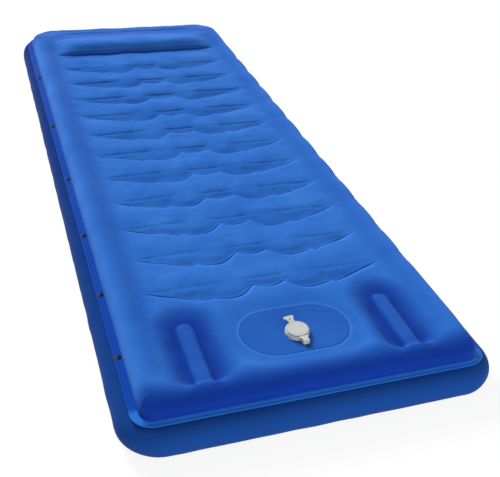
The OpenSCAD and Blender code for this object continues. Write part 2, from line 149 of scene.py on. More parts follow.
def coated_nylon(name, tone, shade, roughness, gleam):
    """Satin coated nylon: plain weave under a film, faintly clouded and creased, with painted shade where
    marked.
    """
    material, nodes, links, shader = new_finish(name)
    # Painted shade: the share of each colour that is left where the painted shade is deepest
    painted_shade_share = (0.08, 0.24, 0.52)
    gloss_spread = 0.06
    place = nodes.new("ShaderNodeTexCoord").outputs["Object"]
    cloud = nodes.new("ShaderNodeTexNoise")
    cloud.inputs["Scale"].default_value = 9
    cloud.inputs["Detail"].default_value = 4
    tint = two_tones(nodes, tone, shade)
    painted_shade = nodes.new("ShaderNodeAttribute")
    painted_shade.attribute_name = "painted_shade"
    # Painted shade: the colour is mixed towards this dark copy where the mesh's shade attribute is high
    depth = two_tones(nodes, tone, [colour * share for colour, share in zip(shade, painted_shade_share)])
    gloss = nodes.new("ShaderNodeMapRange")
    gloss.inputs["To Min"].default_value = roughness - gloss_spread
    gloss.inputs["To Max"].default_value = roughness + gloss_spread
    crease = nodes.new("ShaderNodeTexNoise")
    crease.inputs["Scale"].default_value = 55
    crease.inputs["Detail"].default_value = 4
    crease_bump = raised(nodes, strength=0.12, distance=0.002)
    threads = nodes.new("ShaderNodeMath")
    threads.operation = "MULTIPLY"
    weave_bump = raised(nodes, strength=0.2, distance=0.0002)
    for slot, direction in enumerate(("X", "Y")):
        thread = nodes.new("ShaderNodeTexWave")
        thread.bands_direction = direction
        thread.inputs["Scale"].default_value = 380
        linked(links, [(place, thread.inputs["Vector"]), (thread.outputs["Fac"], threads.inputs[slot])])
    linked(links, [
        (place, cloud.inputs["Vector"]), (place, crease.inputs["Vector"]),
        (cloud.outputs["Fac"], tint.inputs["Factor"]), (cloud.outputs["Fac"], gloss.inputs["Value"]),
        (tint.outputs["Result"], depth.inputs["A"]), (painted_shade.outputs["Fac"], depth.inputs["Factor"]),
        (depth.outputs["Result"], shader.inputs["Base Color"]),
        (gloss.outputs["Result"], shader.inputs["Roughness"]),
        (crease.outputs["Fac"], crease_bump.inputs["Height"]),
        (threads.outputs["Value"], weave_bump.inputs["Height"]),
        (crease_bump.outputs["Normal"], weave_bump.inputs["Normal"]),
        (weave_bump.outputs["Normal"], shader.inputs["Normal"])])
    shader.inputs["Specular IOR Level"].default_value = gleam
    return material


wall_radius = 0.029
wall_in = tray_high.x - flange_high.x - wall_radius
seam_in = -0.015
wall_turns = 24
wall_top = 2 * wall_radius
hem_run, hem_start, hem_rise = 0.003, 0.0005, 0.002
tray_section = [(wall_in + wall_radius * math.sin(math.pi * n / wall_turns),
                 wall_radius - wall_radius * math.cos(math.pi * n / wall_turns))
                for n in range(wall_turns + 1)]
tray_section += [(seam_in + hem_run, wall_top + hem_start), (seam_in, wall_top + hem_rise),
                 (seam_in, flange_low.z)]
flange_half = Vector((flange_high.x, flange_high.y))
tray_mesh = swept_skin(edge_stations(Vector((0, 0)), flange_half, (head_radius, tray_foot_radius), edge_step,
                                     corner_steps), tray_section)
floor_rim = [edge for edge in tray_mesh.edges if edge.is_boundary and edge.verts[0].co.z < wall_radius]
bmesh.ops.holes_fill(tray_mesh, edges=floor_rim)
wall_ripple, ripple_scale = 0.0012, 26
corner_lift, lift_run = 0.016, 0.17


def head_corner_lift(x, y):
    """The inflated corners beside the pillow curl up off the floor."""
    near_x = unit(1 - (flange_high.x - abs(x)) / lift_run)
    near_y = unit(1 - (flange_high.y - y) / lift_run)
    return corner_lift * (near_x * near_y) ** 2


# The wall is a little narrower towards the head, and its long sides are painted darker than its foot end as
# shade
head_narrow = 0.009
wall_painted_shade = 0.50
tray_painted_shade = tray_mesh.verts.layers.float.new("painted_shade")
for vert in tray_mesh.verts:
    # Painted shade: none at the foot end, rising to full by the middle and on to the head
    vert[tray_painted_shade] = wall_painted_shade * unit(vert.co.y / flange_high.y + 1)
    swell = math.sin(math.pi * unit(vert.co.z / wall_top))
    ripple = noise.noise(Vector((vert.co.x, vert.co.y, 0)) * ripple_scale)
    vert.co += vert.normal * (ripple * swell * wall_ripple)
    vert.co.z += head_corner_lift(vert.co.x, vert.co.y) * vert.co.z / flange_low.z
    along = unit(vert.co.y / tray_high.y / 2 + 0.5)
    if abs(vert.co.x) > wall_radius:
        vert.co.x -= math.copysign(head_narrow * along * swell, vert.co.x)
wall_nylon = coated_nylon("wall_nylon", tone=(0.0066, 0.046, 0.212), shade=(0.0053, 0.038, 0.184),
                          roughness=0.6, gleam=0.045)
tray = make_piece("lower_skin", tray_mesh, wall_nylon)
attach(tray, "root")
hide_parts("bottom_sheet")


# Tie webs: strips of bare film, welded between the floor and the top skin, which hold the channels
# down. They lie inside with the thin film bladder of the foot pump.
web_names = sorted(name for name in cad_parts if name.startswith("wave_web"))


def bare_film(name, tone):
    """Milky film with a soft gloss and faint stretch marks."""
    material, nodes, links, shader = new_finish(name)
    mark_share = 0.85
    marks = nodes.new("ShaderNodeTexNoise")
    marks.inputs["Scale"].default_value = 30
    tint = two_tones(nodes, tone, [colour * mark_share for colour in tone])
    linked(links, [(nodes.new("ShaderNodeTexCoord").outputs["Object"], marks.inputs["Vector"]),
                   (marks.outputs["Fac"], tint.inputs["Factor"]),
                   (tint.outputs["Result"], shader.inputs["Base Color"])])
    shader.inputs["Roughness"].default_value = 0.35
    return material


def finish_nodes(material, names):
    """Gives the named pieces their finish."""
    for name in names:
        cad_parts[name].data.materials.clear()
        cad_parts[name].data.materials.append(material)


inner_film = bare_film("inner_film", tone=(0.62, 0.68, 0.74))
finish_nodes(inner_film, web_names + ["pillow_web", "foot_webs_left", "foot_webs_right", "pump_bladder"])


# Welded edge: both skins pressed flat into one strip round the mattress, a little wavy at its free rim
# and drawn up at the head corners. The weld leaves a shallow line along the band that shows.
foot_radius = 0.040
strip_t = flange_high.z - flange_low.z
strip_in, free_under = 0.030, 0.004
rim_round, rim_top = 0.0004, 0.0012
weld_at, weld_half, weld_sink, weld_end = 0.0072, 0.0012, 0.0006, 0.0135
strip_section = [(-strip_in, flange_low.z), (-free_under, flange_low.z),
                 (-rim_round, flange_low.z + rim_round), (0, flange_low.z + strip_t / 2),
                 (-rim_round, flange_high.z - rim_round), (-rim_top, flange_high.z),
                 (weld_half - weld_at, flange_high.z - weld_sink / 2), (-weld_at, flange_high.z - weld_sink),
                 (-weld_half - weld_at, flange_high.z - weld_sink / 2), (-weld_end, flange_high.z),
                 (-strip_in, flange_high.z)]
strip_mesh = swept_skin(edge_stations(Vector((0, 0)), flange_half, (head_radius, foot_radius), edge_step,
                                      corner_steps), strip_section)
strip_wave, long_scale, short_scale, short_share = 0.0011, 9, 23, 0.5
free_share = 0.04

# Across the foot the strip is cut narrower and droops, and painted shade darkens only its rim there, all of
# it elsewhere
foot_droop, foot_trim, foot_band = 0.0035, 0.0045, 0.018
side_painted_shade, rim_painted_shade = 0.80, 0.34
foot_corner, rim_band, rim_fade = 0.05, 0.012, 0.003
strip_painted_shade = strip_mesh.verts.layers.float.new("painted_shade")
for vert in strip_mesh.verts:
    from_foot = vert.co.y + flange_high.y
    foot_painted_shade = rim_painted_shade * unit((rim_band - from_foot) / rim_fade)
    # Painted shade: all of the strip along the sides and head, only the outer rim across the foot
    vert[strip_painted_shade] = side_painted_shade if from_foot > foot_corner else foot_painted_shade
    long_wave = noise.noise(Vector((vert.co.x, vert.co.y, 0)) * long_scale)
    short_wave = noise.noise(Vector((vert.co.x, vert.co.y, 3)) * short_scale)
    free = max(abs(vert.co.x) / flange_high.x, abs(vert.co.y) / flange_high.y)
    loose = unit((free - 1 + free_share) / free_share)
    vert.co.z += strip_wave * (long_wave + short_share * short_wave) * loose
    vert.co.z += head_corner_lift(vert.co.x, vert.co.y)
    share = unit(1 - from_foot / foot_band)
    vert.co += Vector((0, foot_trim * share, -foot_droop * share))
edge_nylon = coated_nylon("edge_nylon", tone=(0.020, 0.145, 0.54), shade=(0.016, 0.120, 0.48),
                          roughness=0.5, gleam=0.08)
strip = make_piece("welded_edge", strip_mesh, edge_nylon)
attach(strip, "root")
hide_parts("weld_flange")


# Upper skin: one sheet of coated nylon, blown up between the welds. It has a bolster all round, eleven
# wavy welded channels, a raised pillow, two foot bars and the shallow basin of the foot pump.
sheet_low, sheet_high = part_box("top_sheet")
collar_low, collar_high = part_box("pump_collar")
bar_low, bar_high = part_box("foot_webs_right")
crease_low, crease_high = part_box("pillow_web")
seam_x, seam_y, seam_z = sheet_high.x, sheet_high.y, sheet_low.z
seam_band = flange_high.x - seam_x
rows = [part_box(name)[1].y for name in web_names]
crease_y = (crease_low.y + crease_high.y) / 2
pump_middle = Vector((0, (collar_low.y + collar_high.y) / 2))
ground_z = collar_low.z
crest_z = 0.0955
web_clear = 0.0008
deepest = crest_z - crease_high.z - web_clear
depth_free = 0.65
side_reach, end_reach, foot_reach = 0.022, 0.036, 0.056
bolster_rise, bolster_in, bolster_width = 0.0095, 0.004, 0.074

# Lines of one channel, measured from its row: a scalloped lower crease and a straighter upper edge,
# with a narrow leaf of fabric between them that climbs towards the head
tip_x = 0.243
tip_drop = 0.002
shelf_x, shelf_drop = 0.137, 0.0375
notch_x, notch_drop = 0.124, 0.0335
scallop_x, scallop_drop = 0.084, 0.0425
cusp_x, cusp_drop, cusp_power = 0.034, 0.012, 2.3
middle_drop = 0.023
line_rise, line_climb, climb_x = 0.0035, 0.0025, 0.110
line_sag, sag_width = 0.0015, 0.02
tip_before, tip_past = 0.030, 0.016
leaf_slope = 0.19
lip_rise, lip_run, lip_top = 0.0018, 0.0030, 0.0065
lip_stops = (0, 0.0008, 0.0017, lip_run, 0.0045, lip_top)
narrow_leaf = 0.016
upper_depth = 0.0052
faint_edge, middle_edge, outer_edge = 0.35, 0.65, 0.55
middle_fade, outer_start = (0.025, 0.060), (0.085, 0.125)
groove_depth, groove_run = 0.0010, 0.003
crest_run = 0.022
foot_power, head_power = 3.4, 2.4
head_relief, relief_start, relief_end = 0.40, -0.45, 0.55


def smooth(start, end, value):
    """Soft step from 0 at the start to 1 at the end."""
    share = unit((value - start) / (end - start))
    return share * share * (3 - 2 * share)


def hump(middle, spread, value):
    """Soft bell, 1 in its middle."""
    return math.exp(-((value - middle) / spread) ** 2)


def lower_line(x):
    """Scalloped crease of a channel: outer taper, notch, scallop, cusp and middle scallop."""
    off = abs(x)
    if off > shelf_x:
        return -tip_drop - (shelf_drop - tip_drop) * max(0, tip_x - off) / (tip_x - shelf_x)
    if off > notch_x:
        return -notch_drop - (shelf_drop - notch_drop) * smooth(notch_x, shelf_x, off)
    if off > scallop_x:
        return -scallop_drop + (scallop_drop - notch_drop) * ((off - scallop_x) / (notch_x - scallop_x)) ** 2
    if off > cusp_x:
        share = (scallop_x - off) / (scallop_x - cusp_x)
        return -scallop_drop + (scallop_drop - cusp_drop) * share ** cusp_power
    return -middle_drop + (middle_drop - cusp_drop) * (off / cusp_x) ** 2


def upper_line(x):
    """Upper edge of a channel, almost straight, with a slight sag in the middle."""
    return line_rise + line_climb * smooth(tip_x, climb_x, abs(x)) - line_sag * hump(0, sag_width, x)


def upper_strength(x):
    """The upper edge is sharp in the middle and in the outer stretches, and faint between them."""
    off = abs(x)
    return faint_edge + middle_edge * (1 - smooth(*middle_fade, off)) + outer_edge * smooth(*outer_start, off)


def tip_fade(x):
    """A channel runs out softly at its two tips."""
    return 1 - smooth(tip_x - tip_before, tip_x + tip_past, abs(x))


def upper_z(x):
    """Height of a channel's upper edge."""
    return crest_z - upper_depth * tip_fade(x) * upper_strength(x)


def leaf_width(x):
    """Width of the leaf between a channel's two lines."""
    return upper_line(x) - lower_line(x)


def lower_z(x):
    """Height of a channel's lower crease."""
    return upper_z(x) - (leaf_slope * max(0, leaf_width(x) - lip_top) + lip_rise) * tip_fade(x)


def leaf_gap(x, step):
    """Distance from the lower crease of one step across the leaf."""
    width = leaf_width(x)
    if step < len(lip_stops):
        return lip_stops[step] * min(1, width / narrow_leaf)
    start = leaf_gap(x, len(lip_stops) - 1)
    return start + (width - start) * (step - len(lip_stops) + 1) / (leaf_steps - len(lip_stops) + 1)


def leaf_z(x, gap):
    """Leaf between the two lines: a small round lip at the lower crease, then an even climb."""
    start = leaf_gap(x, len(lip_stops) - 1)
    foot = lower_z(x) + lip_rise * tip_fade(x)
    if gap < start:
        return foot - lip_rise * tip_fade(x) * max(0, 1 - gap / start * lip_top / lip_run) ** 2
    return foot + (upper_z(x) - foot) * (gap - start) / (leaf_width(x) - start)


def channel_z(x, share, length, foot_z, head_z):
    """Blown-up channel between two welds, with its crest near the head end."""
    crest = 1 - min(crest_run, length / 2) / length
    if share < crest:
        return crest_z - (crest_z - foot_z) * ((crest - share) / crest) ** foot_power
    return crest_z - (crest_z - head_z) * ((share - crest) / (1 - crest)) ** head_power


def upper_groove(x, gap):
    """Narrow groove that the weld leaves along a channel's upper edge."""
    return groove_depth * upper_strength(x) * tip_fade(x) * hump(0, groove_run, gap)


# Foot end: a shallow basin round the pump, and on each side a long pad in a bowl of its own
bar_x = (bar_low.x + bar_high.x) / 2
bar_half = (bar_high.x - bar_low.x) / 2
bar_reach = 0.072
bar_weld_z, weld_flat = 0.0825, 0.004
bar_ridge, ridge_power = 0.0095, 3.8
bar_dip, dip_off, dip_width, outer_dip = 0.0050, 0.013, 0.011, 0.4
dip_full, dip_end = 0.075, 0.030
bar_fade, fade_run = 0.0045, 0.090
bar_arch = 0.030
crisp_before, crisp_past, soft_run = 0.008, 0.004, 0.024
crisp_in, soft_out = 0.004, 0.014
oval_span = 0.085
collar_radius = (collar_high.y - collar_low.y) / 2
basin_radius, halo_radius = collar_radius - 0.009, collar_radius + 0.044
foot_bolster_rise, foot_bolster_top, foot_bolster_end = 0.003, 0.030, 0.075


def oval_distance(x, y):
    """Distance from the middle line of the pump's oval."""
    return math.hypot(max(abs(x) - oval_span / 2, 0), y - pump_middle.y)


def pad_distance(x, y):
    """Distance from the middle line of the nearer foot bar, round its head end."""
    return math.hypot(abs(x) - bar_x, max(0, y - bar_high.y + bar_arch))


def foot_height(x, y):
    """Basin, pads and bowls between the foot bolster and the first channel."""
    gap = rows[0] + lower_line(x) - y
    height = crest_z - (crest_z - lower_z(x)) * max(0, 1 - gap / crest_run) ** head_power
    height += foot_bolster_rise * (1 - smooth(foot_bolster_top - seam_y, foot_bolster_end - seam_y, y))
    basin = smooth(basin_radius, halo_radius, oval_distance(x, y))
    height = ground_z + (height - ground_z) * basin
    from_pad = pad_distance(x, y)
    weld_z = bar_weld_z + bar_fade * smooth(bar_high.y - fade_run, bar_high.y, y)
    if from_pad < bar_half:
        bowl = weld_z + (bar_weld_z + bar_ridge - weld_z) * (1 - (from_pad / bar_half) ** ridge_power)
    else:
        bowl = weld_z + max(0, height - weld_z) * smooth(bar_half + weld_flat, bar_reach, from_pad)
        beside = 1 - smooth(bar_high.y - dip_full, bar_high.y - dip_end, y)
        inner = 1 if abs(x) < bar_x else outer_dip
        bowl -= bar_dip * inner * beside * hump(bar_half + dip_off, dip_width, from_pad)
    crisp = smooth(bar_low.y - crisp_before, bar_low.y + crisp_past, y)
    soft = smooth(bar_low.y - soft_run, bar_low.y + soft_run, y)
    start = crisp + (soft - crisp) * smooth(bar_half - crisp_in, bar_half + soft_out, from_pad)
    return height + (bowl - height) * start


# Pillow: a steep round front over its crease, and a top that falls to a shallow crease before the head rim
pillow_z = 0.1165
pillow_side_z = 0.106
pillow_back_z = 0.1015
front_run = 0.046
front_step, front_share, front_gather = 0.023, 0.30, 1.5
side_run = 0.130
back_crease_y, back_crease_depth, back_crease_width = 0.850, 0.003, 0.007
crease_z = 0.082
pillow_flat, pillow_half = 0.185, 0.270


def pillow_share(x):
    """The pillow runs out softly into the bolsters on both sides."""
    return 1 - smooth(pillow_flat, pillow_half, abs(x))


def side_height(y):
    """The bolsters climb slowly beside the pillow."""
    return crest_z + (pillow_side_z - crest_z) * smooth(crease_y, crease_y + side_run, y)


def front_height(x, share):
    """Steep round front of the pillow; beside it the bolster climbs slowly."""
    front = crease_z + front_step * (1 - max(0, 1 - share / front_share) ** 2)
    climb = max(0, share - front_share) / (1 - front_share)
    front += (pillow_z - crease_z - front_step) * (1 - (1 - climb) ** 2)
    side = side_height(crease_y + front_run * share)
    return side + (front - side) * pillow_share(x)


def back_height(x, y):
    """Top of the pillow, falling to a shallow crease before the head rim."""
    run = unit((y - crease_y - front_run) / (back_crease_y - crease_y - front_run))
    top = pillow_z - (pillow_z - pillow_back_z) * smooth(0, 1, run)
    crease = back_crease_depth * hump(back_crease_y, back_crease_width, y)
    side = side_height(y)
    return side + (top - crease - side) * pillow_share(x)


# Grid of the sheet: columns from seam to seam, and steps between the stops of each column
edge_turns = 10
column_step = 0.0040
inner_half = seam_x - side_reach
inner_columns = round(inner_half / column_step)
half_columns = [inner_half * n / inner_columns for n in range(inner_columns)]
half_columns += [inner_half + side_reach * math.sin(math.pi / 2 * n / edge_turns)
                 for n in range(edge_turns + 1)]
columns = [-x for x in half_columns[:0:-1]] + half_columns
foot_edge_steps, foot_steps = 16, 60
leaf_steps, channel_steps = 12, 24
front_steps, back_steps, rim_steps = 30, 30, 8
stop_steps = ([foot_edge_steps, foot_steps] + [leaf_steps, channel_steps] * len(rows)
              + [front_steps, back_steps, rim_steps, edge_turns])
steps = [(n, share / count) for n, count in enumerate(stop_steps) for share in range(count)]
steps.append((len(stop_steps) - 1, 1))
first_leaf = 2
crease_stop = first_leaf + 2 * len(rows)
edge_power = 2.2


def column_stops(x):
    """Where one column crosses the seam, the bolster, the welds and the pillow's creases."""
    welds = [row + line(x) for row in rows for line in (lower_line, upper_line)]
    return ([-seam_y, -seam_y + foot_reach] + welds
            + [crease_y, crease_y + front_run, back_crease_y, seam_y - end_reach, seam_y])


def relief(y):
    """The channels are drawn in deeper towards the head."""
    return 1 + head_relief * smooth(relief_start, relief_end, y)


def sheet_place(x, stops, stop, share):
    """Plan place along Y and height of a point of the sheet, before its edge and corners are rounded."""
    start, end = stops[stop], stops[stop + 1]
    length = end - start
    if stop == 0:
        share = 1 - math.cos(math.pi / 2 * share)
    elif stop == len(stops) - 2:
        share = math.sin(math.pi / 2 * share)
    leaf = first_leaf <= stop < crease_stop and (stop - first_leaf) % 2 == 0
    if leaf:
        share = leaf_gap(x, round(share * leaf_steps)) / length
    elif first_leaf < stop < crease_stop:
        share -= math.sin(2 * math.pi * share) / (4 * math.pi)
    elif stop == crease_stop:
        share **= front_gather
    y = start + length * share
    if stop < first_leaf:
        return y, foot_height(x, y)
    if leaf:
        height = leaf_z(x, share * length) - upper_groove(x, length * (1 - share))
        return y, crest_z + (height - crest_z) * relief(y)
    if stop < crease_stop:
        last = stop == crease_stop - 1
        head_z = crest_z - (crest_z - crease_z) * pillow_share(x) / relief(crease_y) if last else lower_z(x)
        height = channel_z(x, share, length, upper_z(x), head_z) - upper_groove(x, length * share)
        return y, crest_z + (height - crest_z) * relief(y)
    if stop == crease_stop:
        return y, front_height(x, share)
    return y, back_height(x, y)


def edge_rise(inset, reach):
    """Round, nearly upright edge of the sheet over the seam."""
    return (1 - (1 - min(1, inset / reach)) ** edge_power) ** (1 / edge_power)


# Slack of the blown-up cloth: a flat copy of the sheet, cut a little too large, is held along the welds
# and hangs between them. Turned over, the puckers that it takes on are those of the skin under air.
cloth_columns, cloth_rows, cloth_frames = 96, 260, 22
cloth_excess = 0.012
start_ripple, start_scale = 0.0006, 30
rim_hold, pump_hold, weld_hold = 0.030, 0.016, 0.0045
pad_hold, pad_hold_end = 0.006, 0.01
crease_half = 0.25
pucker_limit, pucker_reach, pucker_share, dome_share = 0.0030, 8, 0.36, 0.15
uneven, fine_share = 0.0020, 0.3
broad_scale, fine_scale = (15, 26), (45, 70)
calm_rim, full_rim = 0.03, 0.09


def is_held(x, y):
    """The copy is held at the bolsters, the pump, the bars, the pillow's crease and the channel welds."""
    if min(seam_x - abs(x), seam_y - abs(y)) < rim_hold or oval_distance(x, y) < collar_radius + pump_hold:
        return True
    if pad_distance(x, y) < bar_half + pad_hold and bar_low.y - pad_hold_end < y < bar_high.y:
        return True
    if abs(x) < crease_half and abs(y - crease_y) < weld_hold:
        return True
    return abs(x) < tip_x and any(abs(y - row - lower_line(x)) < weld_hold for row in rows)


def blown_up_puckers():
    """Height of the puckers at every place of the held copy, from a cloth simulation."""
    flat = bmesh.new()
    bmesh.ops.create_grid(flat, x_segments=cloth_columns, y_segments=cloth_rows, size=1,
                          matrix=Matrix.Diagonal((seam_x, seam_y, 1, 1)))
    held = flat.verts.layers.deform.verify()
    places = []
    for vert in flat.verts:
        vert[held][0] = 1.0 if is_held(vert.co.x, vert.co.y) else 0.0
        places.append((round((vert.co.x / seam_x + 1) / 2 * cloth_columns),
                       round((vert.co.y / seam_y + 1) / 2 * cloth_rows)))
        vert.co.z = start_ripple * noise.noise(Vector((vert.co.x * start_scale, vert.co.y * start_scale, 4)))
    mesh = bpy.data.meshes.new("slack_cloth")
    flat.to_mesh(mesh)
    flat.free()
    copy = bpy.data.objects.new("slack_cloth", mesh)
    bpy.context.scene.collection.objects.link(copy)
    copy.vertex_groups.new(name="held")
    cloth = copy.modifiers.new("slack_and_painted_shade", "CLOTH")
    cloth.settings.vertex_group_mass = "held"
    cloth.settings.shrink_min = -cloth_excess
    cloth.settings.quality = 5
    cloth.settings.tension_stiffness = cloth.settings.compression_stiffness = 40
    cloth.settings.shear_stiffness = 20
    cloth.settings.bending_stiffness = 0.5
    cloth.settings.air_damping = 4
    cloth.collision_settings.use_collision = cloth.collision_settings.use_self_collision = False
    cloth.point_cache.frame_end = cloth_frames
    for step in range(1, cloth_frames + 1):
        bpy.context.scene.frame_set(step)
    hung = copy.evaluated_get(bpy.context.evaluated_depsgraph_get())
    puckers = {place: -vert.co.z for place, vert in zip(places, hung.data.vertices)}
    bpy.context.scene.frame_set(1)
    bpy.data.objects.remove(copy)
    bpy.data.meshes.remove(mesh)
    return puckers


puckers = blown_up_puckers()
even = {}
for column, row in puckers:
    near = [puckers.get((column + n, row), 0) for n in range(-pucker_reach, pucker_reach + 1)]
    even[column, row] = sum(near) / len(near)


def wrinkle(x, y):
    """Puckers at one place, over the even dome that the channels have already, and a soft unevenness."""
    column, row = (x / seam_x + 1) / 2 * cloth_columns, (y / seam_y + 1) / 2 * cloth_rows
    left, low = min(cloth_columns - 1, int(column)), min(cloth_rows - 1, int(row))
    height = 0
    for place in ((left, low), (left + 1, low), (left, low + 1), (left + 1, low + 1)):
        share = (1 - abs(column - place[0])) * (1 - abs(row - place[1]))
        height += share * (puckers.get(place, 0) - (1 - dome_share) * even.get(place, 0))
    clear = smooth(collar_radius, halo_radius, oval_distance(x, y))
    clear *= smooth(calm_rim, full_rim, seam_x - abs(x))
    broad = noise.noise(Vector((x * broad_scale[0], y * broad_scale[1], 2)))
    fine = noise.noise(Vector((x * fine_scale[0], y * fine_scale[1], 6)))
    pucker = pucker_share * pucker_limit * math.tanh(height / pucker_limit)
    return clear * (pucker + uneven * (broad + fine_share * fine))


def above_webs(height):
    """Keeps the welds and hollows of the skin just above the tie webs, without a hard stop."""
    free, left = depth_free * deepest, (1 - depth_free) * deepest
    depth = crest_z - height
    return height if depth < free else crest_z - free - left * math.tanh((depth - free) / left)


# Bolster and corners: each channel draws the bolster in and down a little, less on the left side
bolster_before, bolster_past = 0.04, 0.16
draw_width, draw_full, draw_end, left_draw = 0.024, 0.03, 0.08, 0.4
draw_down, draw_in, draw_edge = 0.0016, 0.0025, 0.5
head_fall, foot_fall = (0.006, 0.14), (0.008, 0.10)


def rounded_place(x, y, height):
    """Adds the bolster, rounds it down to the seam, and rounds the corners in plan."""
    inset_x, inset_y = seam_x - abs(x), seam_y - abs(y)
    radius = (head_radius if y > 0 else foot_radius) - seam_band
    reach_y = end_reach if y > 0 else foot_reach
    beside_bed = 1 - smooth(crease_y - bolster_before, crease_y + bolster_past, y)
    height += bolster_rise * (1 - smooth(bolster_in, bolster_width, inset_x)) * beside_bed
    draw = max(hump(row, draw_width, y) for row in rows) * (1 - smooth(draw_full, draw_end, inset_x))
    draw *= 1 if x > 0 else left_draw
    height -= draw_down * draw
    corner_drop, corner_run = head_fall if y > 0 else foot_fall
    height -= corner_drop * (1 - smooth(0, corner_run, inset_x)) * (1 - smooth(0, corner_run, inset_y))
    height = above_webs(height + wrinkle(x, y))
    over_x = 1 - inset_x / radius
    over_y = 1 - inset_y / radius
    if over_x > 0 and over_y > 0:
        reach = max(over_x, over_y)
        turn = math.pi / 4 * (over_y / over_x if over_x > over_y else 2 - over_x / over_y)
        edge = edge_rise(radius * (1 - reach), side_reach + (reach_y - side_reach) * math.sin(turn) ** 2)
        x = math.copysign(seam_x - radius + radius * reach * math.cos(turn), x)
        y = math.copysign(seam_y - radius + radius * reach * math.sin(turn), y)
    else:
        edge = edge_rise(inset_x, side_reach) * edge_rise(inset_y, reach_y)
        x -= math.copysign(draw_in * draw * smooth(0, draw_edge, edge_rise(inset_x, side_reach)), x)
    low = seam_z + head_corner_lift(x, y)
    return x, y, low + (height - low) * edge


# Painted shade of each place, from 0 where none is painted to 1 in the deepest hollow
pad_painted_shade, bowl_painted_shade, pad_rim, bowl_past = 0.54, 0.40, 0.006, 0.018
bowl_before, bowl_full = 0.012, 0.010
basin_painted_shade = 0.22
foot_face_full, foot_face_end = 0.004, 0.078
left_trough_shade, right_trough_shade, trough_in, trough_width = 0.40, 0.28, 0.047, 0.026
trough_end, trough_full = 0.02, 0.10
flank_painted_shade, flank_full, flank_end = 0.08, 0.006, 0.036
head_painted_shade, head_full, head_end = 0.46, 0.03, 0.06
back_painted_shade, back_in, back_width = 0.48, 0.098, 0.034
crease_painted_shade, crease_before, crease_width = 0.85, 0.012, 0.014


def slack_and_painted_shade(x, y):
    """How much shade is painted at one place; the finish reads it and darkens the colour there."""
    inset_x, from_foot, from_head = seam_x - abs(x), seam_y + y, seam_y - y
    pad = pad_distance(x, y)
    bowls = pad_painted_shade + bowl_painted_shade * smooth(bar_half - pad_rim, bar_half, pad)
    bowls *= 1 - smooth(bar_half, bar_reach + bowl_past, pad)
    bowls *= smooth(bar_low.y - bowl_before, bar_low.y + bowl_full, y)
    basin = basin_painted_shade * (1 - smooth(collar_radius, halo_radius, oval_distance(x, y)))
    foot_face = 1 - smooth(foot_face_full, foot_face_end, from_foot)
    trough = (left_trough_shade if x < 0 else right_trough_shade) * hump(trough_in, trough_width, inset_x)
    trough *= smooth(trough_end, trough_full, min(from_foot, from_head))
    flank = flank_painted_shade * (1 - smooth(flank_full, flank_end, inset_x))
    head_rim = head_painted_shade * (1 - smooth(head_full, head_end, from_head))
    pillow_back = back_painted_shade * hump(back_in, back_width, from_head)
    crease = crease_painted_shade * hump(crease_y - crease_before, crease_width, y) * pillow_share(x)
    return min(1, max(bowls, basin, foot_face, trough, flank, head_rim, pillow_back, crease))


sheet_mesh = bmesh.new()
painted_shade = sheet_mesh.verts.layers.float.new("painted_shade")
across, along = len(columns) - 1, len(steps) - 1
sheet_grid = bmesh.ops.create_grid(sheet_mesh, x_segments=across, y_segments=along, size=1)
stops_of = [column_stops(x) for x in columns]
for vert in sheet_grid["verts"]:
    column = round((vert.co.x + 1) / 2 * across)
    stop, share = steps[round((vert.co.y + 1) / 2 * along)]
    x = columns[column]
    y, height = sheet_place(x, stops_of[column], stop, share)
    vert.co = rounded_place(x, y, height)
    # Painted shade of this place, kept for the finish
    vert[painted_shade] = slack_and_painted_shade(x, y)
opening_radius = collar_radius - 0.007
in_opening = [face for face in sheet_mesh.faces
              if oval_distance(*face.calc_center_median().xy) < opening_radius]
bmesh.ops.delete(sheet_mesh, geom=in_opening, context="FACES")
top_nylon = coated_nylon("top_nylon", tone=(0.033, 0.165, 0.530), shade=(0.0135, 0.096, 0.420),
                         roughness=0.62, gleam=0.13)
sheet = make_piece("upper_skin", sheet_mesh, top_nylon)
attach(sheet, "root")
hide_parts("top_sheet")


# Snaps: black moulded domes with their posts through the left edge, sockets under them, and
# the mating studs with backing discs on the right edge.
def moulded_plastic(name, tone, roughness, speckle):
    """Moulded plastic with a fine spark-eroded grain and a slightly uneven tone."""
    material, nodes, links, shader = new_finish(name)
    place = nodes.new("ShaderNodeTexCoord").outputs["Object"]
    grain = nodes.new("ShaderNodeTexNoise")
    grain.inputs["Scale"].default_value = 900
    flow = nodes.new("ShaderNodeTexNoise")
    flow.inputs["Scale"].default_value = 60
    tint = two_tones(nodes, tone, [colour * speckle for colour in tone])
    bump = raised(nodes, strength=0.15, distance=0.0002)
    linked(links, [(place, grain.inputs["Vector"]), (place, flow.inputs["Vector"]),
                   (flow.outputs["Fac"], tint.inputs["Factor"]),
                   (tint.outputs["Result"], shader.inputs["Base Color"]),
                   (grain.outputs["Fac"], bump.inputs["Height"]),
                   (bump.outputs["Normal"], shader.inputs["Normal"])])
    shader.inputs["Roughness"].default_value = roughness
    return material


snap_black = moulded_plastic("snap_black", tone=(0.006, 0.006, 0.007), roughness=0.3, speckle=0.7)
finish_nodes(snap_black, ["snap_caps_left", "snap_sockets_left", "snap_studs_right", "snap_backs_right"])


